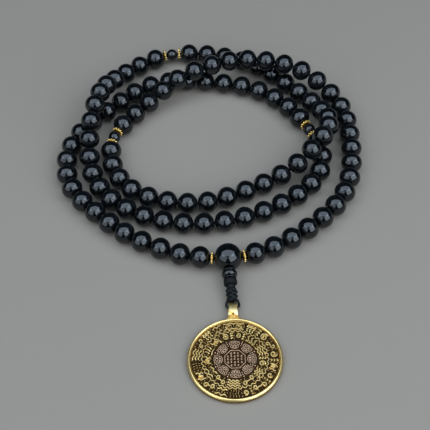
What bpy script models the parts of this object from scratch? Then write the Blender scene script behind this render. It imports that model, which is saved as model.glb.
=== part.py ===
"""Mala prayer beads: a three-turn string of round beads with a guru bead, corded tail and round medal.

Lengths are in millimetres until the mesh is written, then in metres. +Z is up and the coil and medal
lie on the table at z = 0. One route of hand-chosen points carries the whole strand; every bead, ring and
piece of string is threaded on it in order.
"""
import math

import bmesh
import bpy
from mathutils import Vector

MM = 0.001
MERGE = 0.000001         # metres

# ---- beads ----------------------------------------------------------------------------------------
BEAD_R = 4.25           # counting bead: 8.5 mm across and a little under 8 mm along the string
BEAD_END = 3.7          # half length of a counting bead, cut flat at the drilled ends
BEAD_PITCH = 8.0
BEAD_SIDES = 8
SHOULDER_AT = 2.6       # ring between a bead's middle and its end, and its radius
SHOULDER_R = 3.32
NECK_R = 1.2            # where two beads of one run meet
MARKER_R = 2.5
MARKER_END = 2.2
MARKER_PITCH = 5.2
SPACER_R = 2.3
SPACER_END = 0.45
SPACER_PITCH = 1.15
GURU_R = 5.3
GURU_END = 5.05
GURU_PITCH = 10.8
BORE_R = 0.75
STRING_R = 0.45
STRING_GAP = 0.2
BEADS_PER_QUARTER = 27
BEADS_PER_RUN = 3
RUNS = BEADS_PER_QUARTER // BEADS_PER_RUN
FRONT_RUNS = 3          # runs either side of the guru that lift with the front of the strand

# ---- tail -----------------------------------------------------------------------------------------
TAIL_MOUTH = (0.1, -4.9, -0.45)     # mouth of the third hole, from the guru's centre
TAIL_AIM = (0.9, -12.6, -2.35)      # way the tail runs
TAIL_HOLE_R = 1.25
TAIL_HOLE_DEPTH = 3.2
TOWER_MIDDLE = 2.4      # from the mouth, along the tail
PIN_R = 0.55
BRAID_BEND_AT = 7.45
BRAID_END = 12.1

# ---- medal ----------------------------------------------------------------------------------------
MEDAL_R = 17.0
MEDAL_Y = -41.8         # centre of the disc, from the guru's centre
MEDAL_X = 1.0
BAIL_Y = -21.45
BAIL_HALF = (1.72, 3.1, 1.65)
BAIL_WALL = 0.65
LOOP_Y = -18.9
LOOP_Z = 1.75
LOOP_HALF = (2.6, 1.3)
LOOP_R = 0.42

# The strand's route: x, y from the guru's centre and the rise of the string above its height on the
# table, in order from the guru round the three turns and back.
ROUTE = [
    (0, 0, 1.1), (6, 0.7, 1.1), (14.4, 3.6, 0.2), (25, 9.4, 0), (37.6, 19, 0), (47.2, 31, 0), (51.6, 47, 0),
    (52.4, 64, 0), (50.8, 79, 0.2), (45.8, 86.6, 2.2), (39.8, 91.6, 5.4), (33.2, 94.6, 8.4),
    (26, 97.4, 9), (18.4, 99.8, 8.9), (10.4, 101.2, 8.6), (2.4, 100, 8.8), (-5.2, 97, 9),
    (-12.8, 94.4, 8.6), (-20.2, 91.4, 6), (-26.4, 87.4, 2.8), (-32.6, 82.6, 0.4), (-38.4, 77, 0),
    (-43.2, 70, 0), (-46.2, 62, 0), (-45.6, 50, 0), (-41.4, 40.6, 0), (-35.2, 34.4, 0),
    (-22, 29.2, 0), (-8, 28.2, 0), (9.4, 34.2, 0), (18, 38.2, 0.2), (25, 41.6, 1.7),
    (31.4, 44.6, 5.4), (36.8, 49, 8.8), (40.8, 54.6, 9.3), (43.6, 61.4, 7.5), (43.8, 69, 4.3),
    (41.6, 76.2, 1.3), (37.4, 83.4, 0), (28.4, 94, 0), (18.4, 104.6, 0), (5, 111.8, 0),
    (-11, 115.4, 0), (-25.8, 114.2, 0), (-37.4, 107, 0), (-43, 101.6, 1.1), (-46.8, 95.4, 3.7),
    (-49.6, 88.6, 7.3), (-51.4, 81.4, 9.5), (-53, 73.8, 9.5), (-54.4, 66.2, 7.3), (-55, 58.4, 3.7),
    (-54.6, 50.4, 0.9), (-51.6, 40.4, 0), (-45, 31, 0), (-31.6, 22.2, 0), (-17, 18, 0),
    (-1, 18.4, 0), (14.6, 22.6, 0), (28, 30.2, 0), (37.6, 40.6, 0), (40.2, 51.4, 0),
    (37.6, 62, 0), (32.4, 73.4, 0), (25, 83.4, 0), (13.4, 92, 0), (-1.6, 96, 0),
    (-17.6, 98.2, 0), (-32.8, 94.8, 0), (-44.6, 84.6, 0), (-56.8, 72.6, 0), (-63.2, 60, 0),
    (-64.4, 51, 0), (-61, 37, 0), (-50.4, 24.6, 0), (-39.2, 14, 0), (-25, 6, 0), (-14.4, 2, 0.2),
    (-6, 0.3, 1.1),
]

# Where the guru's centre stands, so that the origin is under the middle of the whole thing.
GURU_AT = (5.849, -30.627, BEAD_R + 1.1)

COLLECTION = "Mala prayer beads"
CUTTERS = "Cutters"


# ---- small vector helpers -------------------------------------------------------------------------
def add(a, b):
    return tuple(p + q for p, q in zip(a, b))


def sub(a, b):
    return tuple(p - q for p, q in zip(a, b))


def mul(a, k):
    return tuple(p * k for p in a)


def unit(a):
    return mul(a, 1.0 / math.sqrt(sum(p * p for p in a)))


def cross(a, b):
    return (a[1] * b[2] - a[2] * b[1], a[2] * b[0] - a[0] * b[2], a[0] * b[1] - a[1] * b[0])


def middle(a, b):
    return mul(add(a, b), 0.5)


def side_and_up(along):
    """Two directions square to a line: one level, one as near upright as it goes."""
    side = unit(cross((0, 0, 1), along))
    return side, cross(along, side)


# ---- the strand's route ---------------------------------------------------------------------------
def smooth_closed(points, step=0.25):
    """Centripetal Catmull-Rom curve through the points, round and back to the first."""
    count = len(points)
    curve = []
    for i in range(count):
        p0, p1, p2, p3 = (points[(i + k - 1) % count] for k in range(4))
        t0 = 0.0
        t1 = t0 + math.sqrt(math.dist(p0, p1))
        t2 = t1 + math.sqrt(math.dist(p1, p2))
        t3 = t2 + math.sqrt(math.dist(p2, p3))

        def blend(a, b, ta, tb, t):
            return tuple(((tb - t) * p + (t - ta) * q) / (tb - ta) for p, q in zip(a, b))

        pieces = max(2, int(math.dist(p1, p2) / step))
        for j in range(pieces):
            t = t1 + (t2 - t1) * j / pieces
            a1, a2, a3 = blend(p0, p1, t0, t1, t), blend(p1, p2, t1, t2, t), blend(p2, p3, t2, t3, t)
            b1, b2 = blend(a1, a2, t0, t2, t), blend(a2, a3, t1, t3, t)
            x, y, z = blend(b1, b2, t1, t2, t)
            curve.append((x, y, max(z, BEAD_R)))
    return curve


def threading_order():
    """Names and lengths of everything on the string, from the guru's middle round to it again."""
    order = [("guru", GURU_PITCH / 2), ("spacer", SPACER_PITCH)]
    for quarter in range(4):
        order += [("bead", BEAD_PITCH)] * BEADS_PER_QUARTER
        if quarter < 3:
            order += [("spacer", SPACER_PITCH), ("marker", MARKER_PITCH), ("spacer", SPACER_PITCH)]
    return order + [("spacer", SPACER_PITCH), ("guru", GURU_PITCH / 2)]


def march(curve, lengths):
    """Points along the curve whose straight distances are the lengths; and how much curve is left."""
    line = curve + [curve[0]]
    here, at = line[0], 0
    points = [here]
    for length in lengths:
        while at < len(line) - 1 and math.dist(line[at + 1], here) < length:
            at += 1
        if at == len(line) - 1:
            return points, -1.0
        low, high = 0.0, 1.0
        for _ in range(30):
            mid = (low + high) / 2
            probe = add(line[at], mul(sub(line[at + 1], line[at]), mid))
            low, high = (mid, high) if math.dist(probe, here) < length else (low, mid)
        here = add(line[at], mul(sub(line[at + 1], line[at]), low))
        points.append(here)
    return points, math.dist(here, line[-1])


def junctions():
    """Where the threaded pieces meet. The string's slack is shared out evenly between them."""
    start = (ROUTE[0][0], ROUTE[0][1], BEAD_R + ROUTE[0][2])
    curve = smooth_closed([(x, y, BEAD_R + rise) for x, y, rise in ROUTE])
    lengths = [length for _, length in threading_order()]
    low, high = 0.95, 1.05
    for _ in range(40):
        slack = (low + high) / 2
        points, left = march(curve, [length * slack for length in lengths])
        low, high = (slack, high) if left >= 0 else (low, slack)
    points, _ = march(curve, [length * low for length in lengths])
    shift = sub(GURU_AT, start)
    return [add(p, shift) for p in points[:len(lengths)]]


# ---- making objects -------------------------------------------------------------------------------
def link(obj, collection=COLLECTION):
    bpy.data.collections[collection].objects.link(obj)
    return obj


def place(obj, centre, along=(0, 0, 1)):
    """Stand an object at a point with its own Z along a line and its own Y as near upright as it goes."""
    obj.location = mul(centre, MM)
    if along != (0, 0, 1):
        obj.rotation_euler = Vector(along).to_track_quat("Z", "Y").to_euler()
    return obj


def hang_from(pivot, children):
    """Parent pieces to an empty that stands on the joint they turn about."""
    name, point = pivot
    empty = link(place(bpy.data.objects.new(name, None), point))
    for child in children:
        child.parent = empty
        child.matrix_parent_inverse.translation = mul(point, -MM)


def turned(name, outline, centre, along, material, steps, bore=()):
    """A piece turned about a line through the centre.

    The outline is (distance along the line, radius) pairs from one end to the other. It starts and ends
    on the line itself, unless a bore of the same form runs back through the piece.
    """
    loop = list(reversed(outline)) + list(bore)
    edges = [(k, k + 1) for k in range(len(loop) - 1)]
    if bore:
        edges.append((len(loop) - 1, 0))
    mesh = bpy.data.meshes.new(name)
    mesh.from_pydata([(r * MM, 0, t * MM) for t, r in loop], edges, [])
    mesh.materials.append(material)
    obj = link(place(bpy.data.objects.new(name, mesh), centre, along))
    spin = obj.modifiers.new("turn", "SCREW")
    spin.steps = spin.render_steps = steps
    spin.use_merge_vertices = True
    spin.merge_threshold = MERGE
    return obj


def curve_object(name, loops, origin, material, closed):
    """A curve object of straight-sided splines, each with its points relative to the origin."""
    curve = bpy.data.curves.new(name, "CURVE")
    curve.dimensions = "3D"
    for points in loops:
        spline = curve.splines.new("POLY")
        spline.points.add(len(points) - 1)
        for point, place_of in zip(spline.points, points):
            point.co = (*mul(place_of, MM), 1)
        spline.use_cyclic_u = closed
    curve.materials.append(material)
    return link(place(bpy.data.objects.new(name, curve), origin))


def cord(name, points, radius, material, origin=(0, 0, 0), closed=False, sides=6):
    """A round cord through the points."""
    obj = curve_object(name, [[sub(p, origin) for p in points]], origin, material, closed)
    obj.data.fill_mode = "FULL"
    obj.data.bevel_depth = radius * MM
    obj.data.bevel_resolution = sides // 2 - 2
    obj.data.use_fill_caps = not closed
    return obj


def ring(centre, along, radius, segments):
    """Points on a circle square to a line. One of them is always the lowest."""
    side, up = side_and_up(along)
    points = []
    for k in range(segments):
        turn = 2 * math.pi * k / segments - math.pi / 2
        points.append(add(centre, add(mul(side, radius * math.cos(turn)), mul(up, radius * math.sin(turn)))))
    return points


def skin(rings, inward, first):
    """Quads between neighbouring rings of equal count, from the first vertex given."""
    faces = []
    n = len(rings[0])
    for r in range(len(rings) - 1):
        for k in range(n):
            a, b = first + r * n + k, first + r * n + (k + 1) % n
            quad = (a, b, b + n, a + n)
            faces.append(tuple(reversed(quad)) if inward else quad)
    return faces


def bead_run(name, points, material, origin):
    """Beads threaded between neighbouring points, joined at their necks, with the string's bore.

    The beads lie on a bent line, so this one form is lofted between rings: outer rings, then bore rings,
    then the two drilled ends.
    """
    outer, bore = [], []
    last = len(points) - 2
    for i, (a, b) in enumerate(zip(points, points[1:])):
        along, mid = unit(sub(b, a)), middle(a, b)
        if i == 0:
            outer.append(ring(add(mid, mul(along, -BEAD_END)), along, NECK_R, BEAD_SIDES))
            bore.append(ring(add(mid, mul(along, -BEAD_END)), along, BORE_R, BEAD_SIDES))
        for t, r in ((-SHOULDER_AT, SHOULDER_R), (0, BEAD_R), (SHOULDER_AT, SHOULDER_R)):
            outer.append(ring(add(mid, mul(along, t)), along, r, BEAD_SIDES))
        end, turn = add(mid, mul(along, BEAD_END)), along
        if i < last:
            end, turn = b, unit(add(along, unit(sub(points[i + 2], b))))
        outer.append(ring(end, turn, NECK_R, BEAD_SIDES))
        bore.append(ring(end, turn, BORE_R, BEAD_SIDES))

    first_bore = len(outer) * BEAD_SIDES
    faces = skin(outer, False, 0) + skin(bore, True, first_bore)
    final_out, final_bore = (len(outer) - 1) * BEAD_SIDES, first_bore + (len(bore) - 1) * BEAD_SIDES
    for k in range(BEAD_SIDES):
        m = (k + 1) % BEAD_SIDES
        faces.append((m, k, first_bore + k, first_bore + m))
        faces.append((final_out + k, final_out + m, final_bore + m, final_bore + k))

    mesh = bpy.data.meshes.new(name)
    mesh.from_pydata([mul(sub(p, origin), MM) for loop in outer + bore for p in loop], [], faces)
    mesh.materials.append(material)
    return link(place(bpy.data.objects.new(name, mesh), origin))


def string_piece(name, points, material, origin=(0, 0, 0)):
    """Thin cord through the junctions, cut a little short at both ends."""
    first = add(points[0], mul(unit(sub(points[1], points[0])), STRING_GAP))
    final = add(points[-1], mul(unit(sub(points[-2], points[-1])), STRING_GAP))
    return cord(name, [first] + points[1:-1] + [final], STRING_R, material, origin)


def spacer(name, a, b, material):
    """Flat ring with a rounded edge, threaded between two points."""
    rim = [(-SPACER_END, 0.78 * SPACER_R), (-0.2, SPACER_R), (0.2, SPACER_R), (SPACER_END, 0.78 * SPACER_R)]
    bore = [(-SPACER_END, BORE_R + 0.05), (SPACER_END, BORE_R + 0.05)]
    return turned(name, rim, middle(a, b), unit(sub(b, a)), material, 16, bore)


def drilled_sphere(name, a, b, radius, end, bore, bands, steps, material):
    """Round bead with flat drilled ends, threaded between two points."""
    low = math.acos(end / radius)
    outline = []
    for k in range(bands + 1):
        turn = math.pi - low - (math.pi - 2 * low) * k / bands
        outline.append((radius * math.cos(turn), radius * math.sin(turn)))
    return turned(name, outline, middle(a, b), unit(sub(b, a)), material, steps, [(-end, bore), (end, bore)])


def oval(half_a, half_b, power, count):
    """Rounded oval outline, counter-clockwise."""
    points = []
    for k in range(count):
        turn = 2 * math.pi * k / count
        c, s = math.cos(turn), math.sin(turn)
        points.append((half_a * math.copysign(abs(c) ** (2 / power), c),
                       half_b * math.copysign(abs(s) ** (2 / power), s)))
    return points


# ---- the parts ------------------------------------------------------------------------------------
def build_strand(points, mats):
    """Counting beads, markers, spacers and string, from the list of junctions."""
    names = [name for name, _ in threading_order()]
    first_bead, last_bead = 2, len(names) - 2
    reach = FRONT_RUNS * BEADS_PER_RUN
    front_right = points[first_bead:first_bead + reach + 1]
    front_left = points[last_bead - reach:last_bead + 1]
    hinge = middle(front_left[0], front_right[-1])

    at, quarter = first_bead, 1
    while at < last_bead:
        for run in range(RUNS):
            front = (quarter == 1 and run < FRONT_RUNS) or (quarter == 4 and run >= RUNS - FRONT_RUNS)
            a = at + run * BEADS_PER_RUN
            bead_run(f"beads_q{quarter}_{run + 1}", points[a:a + BEADS_PER_RUN + 1], mats["onyx"],
                     hinge if front else (0, 0, 0))
        at += BEADS_PER_QUARTER
        if at < last_bead:
            spacer(f"spacer_m{quarter}a", points[at], points[at + 1], mats["gold"])
            drilled_sphere(f"marker_{quarter}", points[at + 1], points[at + 2], MARKER_R, MARKER_END, BORE_R,
                           6, 12, mats["onyx"])
            spacer(f"spacer_m{quarter}b", points[at + 2], points[at + 3], mats["gold"])
            at += 3
        quarter += 1
    spacer("spacer_guru_right", points[1], points[2], mats["gold"])
    spacer("spacer_guru_left", points[last_bead], points[last_bead + 1], mats["gold"])

    string_piece("string_coil", points[first_bead + reach:last_bead - reach + 1], mats["cord"])
    string_piece("string_front", front_left + [points[last_bead + 1], points[1]] + front_right,
                 mats["cord"], hinge)


def build_guru(points, mats):
    """Three-hole bead: the string runs through it and the tail leaves at the front."""
    left, right = points[-1], points[1]
    guru = drilled_sphere("guru_bead", left, right, GURU_R, GURU_END, BORE_R + 0.05, 12, 20, mats["onyx"])
    centre, aim = middle(left, right), unit(TAIL_AIM)

    shape = bmesh.new()
    bmesh.ops.create_cone(shape, cap_ends=True, segments=14, radius1=TAIL_HOLE_R * MM,
                          radius2=TAIL_HOLE_R * MM, depth=TAIL_HOLE_DEPTH * 2 * MM)
    mesh = bpy.data.meshes.new("guru_tail_hole_cutter")
    shape.to_mesh(mesh)
    shape.free()
    cutter = link(place(bpy.data.objects.new(mesh.name, mesh), add(centre, TAIL_MOUTH), aim), CUTTERS)
    cutter.hide_render = True
    cutter.display_type = "WIRE"
    cut = guru.modifiers.new("tail hole", "BOOLEAN")
    cut.operation = "DIFFERENCE"
    cut.solver = "EXACT"
    cut.object = cutter
    return centre


def build_tail(centre, mats):
    """Turned bead, wrapped knot and braid along one sloping line, then the cord loop."""
    aim, mouth = unit(TAIL_AIM), add(centre, TAIL_MOUTH)
    tower_at = add(mouth, mul(aim, TOWER_MIDDLE))
    tower = [(-1.85, 1.9), (-1.7, 2.75), (-1.25, 2.8), (-1.05, 2.2), (-0.7, 2.5), (0, 2.9),
             (0.7, 2.7), (1.25, 1.9), (1.45, 2.2), (1.8, 2.2), (1.95, 1.6)]
    turned("tower_bead", tower, tower_at, aim, mats["onyx"], 14, [(-1.85, 0.85), (1.95, 0.85)])

    wrap = [(-0.9, 0), (-0.9, PIN_R), (4.65, PIN_R), (4.66, 1.7), (4.9, 2.4), (5.4, 2.5), (5.55, 2.2),
            (5.7, 2.5), (6.2, 2.5), (6.35, 2.2), (6.5, 2.4), (6.85, 2.1), (7.2, 1.3), (7.2, 0)]
    turned("tail_wrap", wrap, mouth, aim, mats["cord"], 12)

    bend = add(mouth, mul(aim, BRAID_BEND_AT))
    length = BRAID_END - BRAID_BEND_AT
    braid = [(0.3, 0), (0.3, 0.95), (0.6, 1.5), (1.0, 2.0)]
    for k in range(3):
        braid += [(1.6 + k * 0.95, 1.9), (2.1 + k * 0.95, 2.1)]
    braid += [(length - 0.25, 1.9), (length, 1.2), (length, 0)]
    turned("tail_braid", braid, bend, aim, mats["cord"], 10)

    loop_at = add(centre, (MEDAL_X, LOOP_Y, LOOP_Z - centre[2]))
    loop = [(x, y, 0) for x, y in oval(*LOOP_HALF, 3.0, 24)]
    loop = cord("tail_loop", [add(p, loop_at) for p in loop], LOOP_R, mats["cord"], loop_at, True, 8)
    hang_from(("braid_pivot", bend), [loop])


def build_medal(centre, mats):
    """Folded bail on the cord loop and the round relief disc below it."""
    half_x, half_y, half_z = BAIL_HALF
    outline = oval(half_y, half_z, 2.6, 24)
    opening = oval(half_y - BAIL_WALL, half_z - BAIL_WALL, 2.6, 24)
    bail_at = (centre[0] + MEDAL_X, centre[1] + BAIL_Y, LOOP_Z)
    bail = curve_object("pendant_bail", [[(y, z, 0) for y, z in line] for line in (outline, opening)],
                        bail_at, mats["gold"], True)
    place(bail, bail_at, (1, 0, 0))
    bail.data.dimensions = "2D"
    bail.data.fill_mode = "BOTH"
    bail.data.extrude = half_x * MM

    outline = [(0.0, 0.0), (0.0, 16.0), (0.4, 16.8), (1.1, MEDAL_R), (1.9, 16.8), (2.3, 16.3), (2.3, 15.8),
               (1.9, 15.3), (1.5, 15.1), (1.5, 8.3), (1.9, 8.1), (1.9, 7.6), (1.6, 7.4), (1.6, 2.4),
               (1.9, 2.3), (1.9, 0.0)]
    disc_at = (centre[0] + MEDAL_X, centre[1] + MEDAL_Y, 0)
    disc = turned("pendant_disc", outline, disc_at, (0, 0, 1), mats["gold"], 40)
    pivot = (bail_at[0], centre[1] + LOOP_Y - LOOP_HALF[1], LOOP_Z)
    hang_from(("pendant_pivot", pivot), [bail, disc])


def make_material(name, colour, metallic, roughness):
    material = bpy.data.materials.new(name)
    material.use_nodes = True
    shader = material.node_tree.nodes["Principled BSDF"]
    shader.inputs["Base Color"].default_value = (*colour, 1)
    shader.inputs["Metallic"].default_value = metallic
    shader.inputs["Roughness"].default_value = roughness
    return material


def main():
    for obj in list(bpy.data.objects):
        bpy.data.objects.remove(obj, do_unlink=True)
    for name in (COLLECTION, CUTTERS):
        bpy.context.scene.collection.children.link(bpy.data.collections.new(name))
    mats = {
        "onyx": make_material("onyx", (0.012, 0.012, 0.014), 0.0, 0.12),
        "gold": make_material("gold", (0.72, 0.47, 0.15), 1.0, 0.3),
        "cord": make_material("cord", (0.02, 0.02, 0.022), 0.0, 0.85),
    }
    points = junctions()
    build_strand(points, mats)
    centre = build_guru(points, mats)
    build_tail(centre, mats)
    build_medal(centre, mats)


main()
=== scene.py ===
"""Looks of a string of mala prayer beads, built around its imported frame.

A strand of polished onyx beads lies in three turns. Its ends meet in a guru bead, and from that hang a
turned tower bead, a wrapped knot, a short round braid and a relief medal on a folded bail. Sizes are in
millimetres and are turned to metres where a mesh is made. Z is up and the table is at z = 0.
"""
import logging
import math
import random
from collections.abc import Callable, Sequence
from dataclasses import dataclass, field
from enum import Enum

import bmesh
import bpy
from mathutils import Matrix, Quaternion, Vector

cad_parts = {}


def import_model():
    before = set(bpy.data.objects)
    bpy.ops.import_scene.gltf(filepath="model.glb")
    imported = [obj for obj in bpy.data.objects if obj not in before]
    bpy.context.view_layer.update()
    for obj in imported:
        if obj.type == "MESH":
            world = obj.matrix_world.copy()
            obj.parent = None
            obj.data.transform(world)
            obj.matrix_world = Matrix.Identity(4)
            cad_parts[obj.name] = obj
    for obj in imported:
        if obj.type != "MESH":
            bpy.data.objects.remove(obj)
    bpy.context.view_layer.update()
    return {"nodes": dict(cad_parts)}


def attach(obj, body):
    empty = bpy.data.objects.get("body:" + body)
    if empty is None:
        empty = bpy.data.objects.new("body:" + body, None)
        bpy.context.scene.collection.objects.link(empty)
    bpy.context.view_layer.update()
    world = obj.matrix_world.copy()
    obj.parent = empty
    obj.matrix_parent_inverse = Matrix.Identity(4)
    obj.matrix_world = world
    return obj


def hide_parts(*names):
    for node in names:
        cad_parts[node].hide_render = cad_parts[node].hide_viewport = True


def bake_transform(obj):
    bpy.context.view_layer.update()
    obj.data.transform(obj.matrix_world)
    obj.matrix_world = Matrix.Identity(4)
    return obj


MM = 0.001
MERGE = 0.000002        # points nearer than this are one, in metres
TURN = 2 * math.pi
UP = Vector((0, 0, 1))
LOG = logging.getLogger("mala")

Point = tuple[float, float]
Line = tuple[list[Point], float]
Body = bpy.types.Object


# ---- mesh work ------------------------------------------------------------------------------------
def clear_selection() -> None:
    """Leave nothing selected, so that an operator acts only on what is picked next."""
    bpy.ops.object.select_all(action="DESELECT")


def pick(obj: Body) -> Body:
    """Select one object and make it active.

    Args:
        obj: the object.

    Returns:
        The same object.
    """
    clear_selection()
    obj.select_set(True)
    bpy.context.view_layer.objects.active = obj
    return obj


def added(name: str) -> Body:
    """Name the object that the last operator added."""
    bpy.context.object.name = bpy.context.object.data.name = name
    return bpy.context.object


def select_verts(obj: Body, test: Callable[[Vector], bool]) -> None:
    """Select vertices by their place, in edit mode.

    Args:
        obj: the mesh object that is in edit mode.
        test: says of a vertex's place whether it is selected.
    """
    bpy.ops.mesh.select_mode(type="VERT")
    bpy.ops.mesh.select_all(action="DESELECT")
    mesh = bmesh.from_edit_mesh(obj.data)
    for vert in mesh.verts:
        vert.select_set(test(vert.co))
    mesh.select_flush(True)
    bmesh.update_edit_mesh(obj.data)


def select_edges(obj: Body, test: Callable[[Vector, Vector], bool]) -> None:
    """Select edges by the places of their two ends, in edit mode.

    Args:
        obj: the mesh object that is in edit mode.
        test: says of an edge's two ends whether the edge is selected.
    """
    bpy.ops.mesh.select_all(action="DESELECT")
    bpy.ops.mesh.select_mode(type="EDGE")
    mesh = bmesh.from_edit_mesh(obj.data)
    for edge in mesh.edges:
        edge.select_set(test(edge.verts[0].co, edge.verts[1].co))
    bmesh.update_edit_mesh(obj.data)


def close_up() -> None:
    """Merge doubles over the whole mesh and turn its faces outwards, then leave edit mode."""
    bpy.ops.mesh.select_all(action="SELECT")
    bpy.ops.mesh.remove_doubles(threshold=MERGE)
    bpy.ops.mesh.normals_make_consistent(inside=False)
    bpy.ops.object.mode_set(mode="OBJECT")


def smooth(obj: Body, angle: float = 40.0) -> Body:
    """Shade round surfaces smooth and leave edges past an angle sharp.

    Args:
        obj: the mesh object.
        angle: the angle, in degrees.

    Returns:
        The same object.
    """
    pick(obj)
    bpy.ops.object.shade_smooth_by_angle(angle=math.radians(angle))
    return obj


def drawn_line(name: str, points: Sequence[Vector]) -> Body:
    """A chain of edges, extruded from a single vertex, left in edit mode.

    Args:
        name: the object's name.
        points: the chain's corners, in metres.

    Returns:
        The object, in edit mode, with its last vertex selected.
    """
    clear_selection()
    bpy.ops.mesh.primitive_plane_add(size=MM, location=(0, 0, 0))
    obj = added(name)
    bpy.ops.object.mode_set(mode="EDIT")
    bpy.ops.mesh.select_mode(type="VERT")
    bpy.ops.mesh.select_all(action="SELECT")
    bpy.ops.mesh.merge(type="CENTER")
    bpy.ops.transform.translate(value=points[0])
    for start, end in zip(points, points[1:]):
        bpy.ops.mesh.extrude_vertices_move(TRANSFORM_OT_translate={"value": end - start})
    return obj


def turned(name: str, outline: Sequence[Point], steps: int) -> Body:
    """A piece turned about the Z axis.

    Args:
        name: the object's name.
        outline: (radius, height) pairs, closed or with both ends on the axis.
        steps: faces round the piece.

    Returns:
        A closed mesh object at the origin.
    """
    obj = drawn_line(name, [Vector((r, 0, z)) * MM for r, z in outline])
    bpy.ops.mesh.select_all(action="SELECT")
    bpy.ops.mesh.spin(steps=steps, angle=TURN, center=(0, 0, 0), axis=(0, 0, 1))
    close_up()
    return smooth(obj)


def rounded(points: Sequence[Sequence[float]], steps: int = 4) -> list[tuple[float, ...]]:
    """An open smooth curve through the points.

    Args:
        points: the points it runs through, of any dimension.
        steps: pieces between two neighbouring points.

    Returns:
        The curve's own points, first and last included.
    """
    ends = [points[0], *points, points[-1]]
    curve = []
    for four in zip(ends, ends[1:], ends[2:], ends[3:]):
        for j in range(steps):
            t = j / steps
            curve.append(tuple(0.5 * (2 * b + (c - a) * t + (2 * a - 5 * b + 4 * c - d) * t ** 2
                                      + (3 * b - a - 3 * c + d) * t ** 3)
                               for a, b, c, d in zip(*four)))
    return [*curve, tuple(points[-1])]


@dataclass
class Stroke:
    """One round wire: its line, its radius and how much of that its ends keep, and whether it is closed."""

    line: list[Vector]
    radius: float
    taper: float = 1.0
    closed: bool = False


def wires(name: str, strokes: Sequence[Stroke], sides: int = 8) -> Body:
    """Round wires as one mesh.

    Args:
        name: the object's name.
        strokes: the wires, in millimetres.
        sides: faces round a wire.

    Returns:
        A mesh object at the origin, in metres.
    """
    clear_selection()
    bpy.ops.curve.primitive_bezier_curve_add(location=(0, 0, 0))
    obj = added(name)
    curve = obj.data
    curve.splines.clear()
    curve.dimensions, curve.fill_mode = "3D", "FULL"
    curve.use_fill_caps = True
    curve.bevel_depth, curve.bevel_resolution = MM, sides // 2 - 2
    for stroke in strokes:
        spline = curve.splines.new("POLY")
        last = len(stroke.line) - 1
        spline.points.add(last)
        for k, (point, place) in enumerate(zip(spline.points, stroke.line)):
            at_end = k in (0, last) and not stroke.closed
            point.co = (*(place * MM), 1)
            point.radius = stroke.radius * (stroke.taper if at_end else 1.0)
        spline.use_cyclic_u = stroke.closed
    bpy.ops.object.convert(target="MESH")
    bpy.ops.object.mode_set(mode="EDIT")
    close_up()
    return smooth(obj)


def apply_modifier(obj: Body, kind: str, **settings: object) -> Body:
    """Add a modifier and apply it at once.

    Args:
        obj: the mesh object.
        kind: the modifier's type name.
        settings: the modifier's own properties.

    Returns:
        The same object.
    """
    pick(obj)
    modifier = obj.modifiers.new(kind.lower(), kind)
    for name, value in settings.items():
        setattr(modifier, name, value)
    bpy.ops.object.modifier_apply(modifier=modifier.name)
    return obj


def copied(source: Body, name: str, matrix: Matrix) -> Body:
    """A copy with a mesh of its own, moved to its place inside that mesh.

    Args:
        source: the object to copy.
        name: the copy's name.
        matrix: the copy's place.

    Returns:
        The copy.
    """
    copy = source.copy()
    copy.data = source.data.copy()
    copy.data.transform(matrix)
    copy.name = copy.data.name = name
    bpy.context.scene.collection.objects.link(copy)
    return copy


def moved(piece: Body, matrix: Matrix) -> Body:
    """Move a piece to its place inside its own mesh."""
    piece.data.transform(matrix)
    return piece


def joined(pieces: Sequence[Body], name: str) -> Body:
    """Several mesh objects as one, at the origin.

    Args:
        pieces: the objects to join.
        name: the joined object's name.

    Returns:
        The joined object.
    """
    pick(pieces[0])
    for piece in pieces:
        piece.select_set(True)
    if len(pieces) > 1:
        bpy.ops.object.join()
    return added(name)


def discard(*pieces: Body) -> None:
    """Remove pieces that were only patterns or cutters."""
    for piece in pieces:
        bpy.data.objects.remove(piece, do_unlink=True)


def on_line(middle: Vector, along: Vector, roll: float = 0.0) -> Matrix:
    """The place of a piece whose Z runs along a line through a middle given in millimetres."""
    turn = along.to_track_quat("Z", "Y") @ Quaternion((0, 0, 1), roll)
    return Matrix.LocRotScale(middle * MM, turn, None)


def cut_out(piece: Body, cutter: Body) -> None:
    """Cut one piece by another, which is then removed."""
    apply_modifier(piece, "BOOLEAN", operation="DIFFERENCE", solver="EXACT", object=cutter)
    discard(cutter)


# ---- finishes -------------------------------------------------------------------------------------
class Slot(Enum):
    """Kinds of finish: onyx, gold and cord."""

    ONYX = "onyx"
    GOLD = "gold"
    CORD = "cord"


class Patina(Enum):
    """What says how far a place on a metal piece was rubbed bright."""

    HEIGHT = "height"
    ATTRIBUTE = "relief"
    WEAR = "wear"


def linear(colour: str) -> tuple[float, float, float, float]:
    """An sRGB hex colour as linear red, green, blue and alpha."""
    parts = [int(colour[k:k + 2], 16) / 255 for k in (1, 3, 5)]
    return (*(c / 12.92 if c <= 0.04045 else ((c + 0.055) / 1.055) ** 2.4 for c in parts), 1.0)


def node(tree: bpy.types.NodeTree, kind: str, inputs: dict | None = None,
         stops: Sequence[tuple[float, str]] = (), **settings: object) -> bpy.types.Node:
    """Add a node with its settings and links.

    Args:
        tree: the material's node tree.
        kind: the shader node's type name.
        inputs: socket name or number, and the value or the output socket it takes.
        stops: a colour ramp's places and sRGB colours.
        settings: the node's own properties.

    Returns:
        The new node.
    """
    made = tree.nodes.new(f"ShaderNode{kind}")
    for name, value in settings.items():
        setattr(made, name, value)
    for key, value in (inputs or {}).items():
        if isinstance(value, bpy.types.NodeSocket):
            tree.links.new(value, made.inputs[key])
        else:
            made.inputs[key].default_value = value
    if stops:
        ramp = made.color_ramp.elements
        for place, _ in stops[2:]:
            ramp.new(place)
        for element, (place, colour) in zip(ramp, stops):
            element.position, element.color = place, linear(colour)
    return made


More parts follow.
